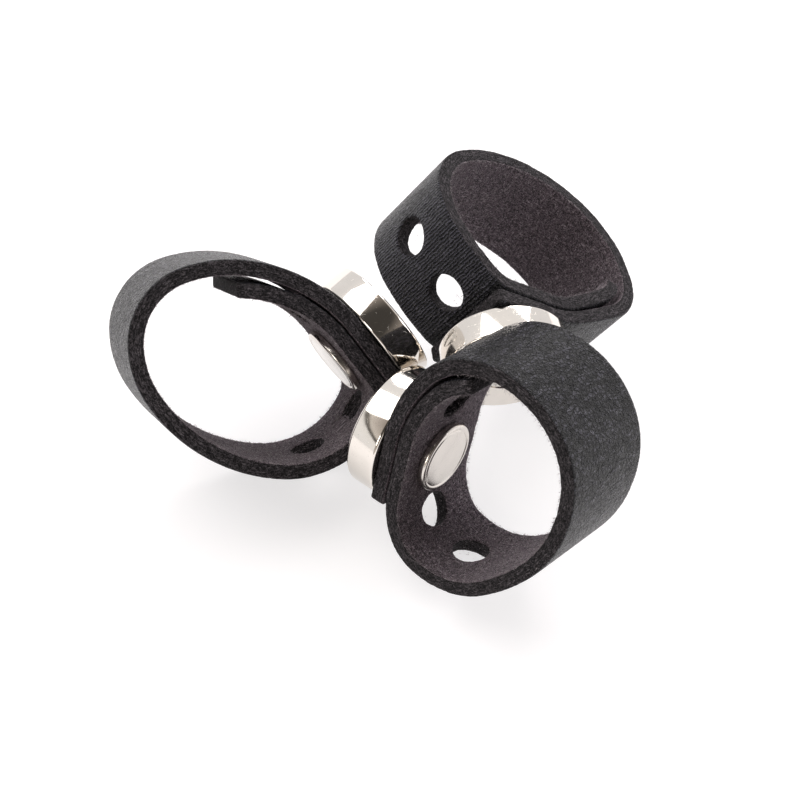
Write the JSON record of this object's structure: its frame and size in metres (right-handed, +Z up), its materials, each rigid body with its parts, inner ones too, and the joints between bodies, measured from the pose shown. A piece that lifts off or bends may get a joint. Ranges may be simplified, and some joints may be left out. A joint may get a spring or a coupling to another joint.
{
  "type": "thimble",
  "caption": "Cluster of adjustable black leather ring thimbles, punched straps rolled into finger loops and clamped by studs with thick disc magnets.",
  "frame": {"origin": "centre of the bounding box, at the floor the set stands on", "axes": "+Z up from the floor, +X towards ring 2, +Y away from the viewer"},
  "size_m": [0.05, 0.0448, 0.0262],
  "materials": {
    "leather": "satin, fine pebbled grain outside, brushed suede inside",
    "magnet_plate": "polished",
    "stud": "polished, lightly scratched"
  },
  "bodies": {
    "ring_1": {"strap_1": "leather"},
    "stud_1": {"magnet_1": "magnet_plate", "post_1": "stud", "screw_1": "stud"},
    "ring_2": {"strap_2": "leather"},
    "stud_2": {"magnet_2": "magnet_plate", "post_2": "stud", "screw_2": "stud"},
    "ring_3": {"strap_3": "leather"},
    "stud_3": {"magnet_3": "magnet_plate", "post_3": "stud", "screw_3": "stud"}
  },
  "joints": [
    {"name": "stud_turn_1", "type": "hinge", "parent": "ring_1", "child": "stud_1", "pos_m": [-0.00185, 0.00295, 0.011], "axis": [0.7282, 0.6101, 0.3123], "continuous": true},
    {"name": "stud_turn_2", "type": "hinge", "parent": "ring_2", "child": "stud_2", "pos_m": [0.0112, 0.0024, 0.01175], "axis": [0.133, -0.9906, -0.0327], "continuous": true},
    {"name": "stud_turn_3", "type": "hinge", "parent": "ring_3", "child": "stud_3", "pos_m": [0.0032, -0.00705, 0.0093], "axis": [-0.7587, 0.6367, -0.1379], "continuous": true},
    {"name": "ring_2_pull", "type": "slide", "parent": "ring_1", "child": "ring_2", "axis": [0.6876, 0.5282, 0.4983], "range_m": [0, 0.02]},
    {"name": "ring_3_pull", "type": "slide", "parent": "ring_1", "child": "ring_3", "axis": [0.4504, -0.8408, 0.3003], "range_m": [0, 0.02]}
  ]
}
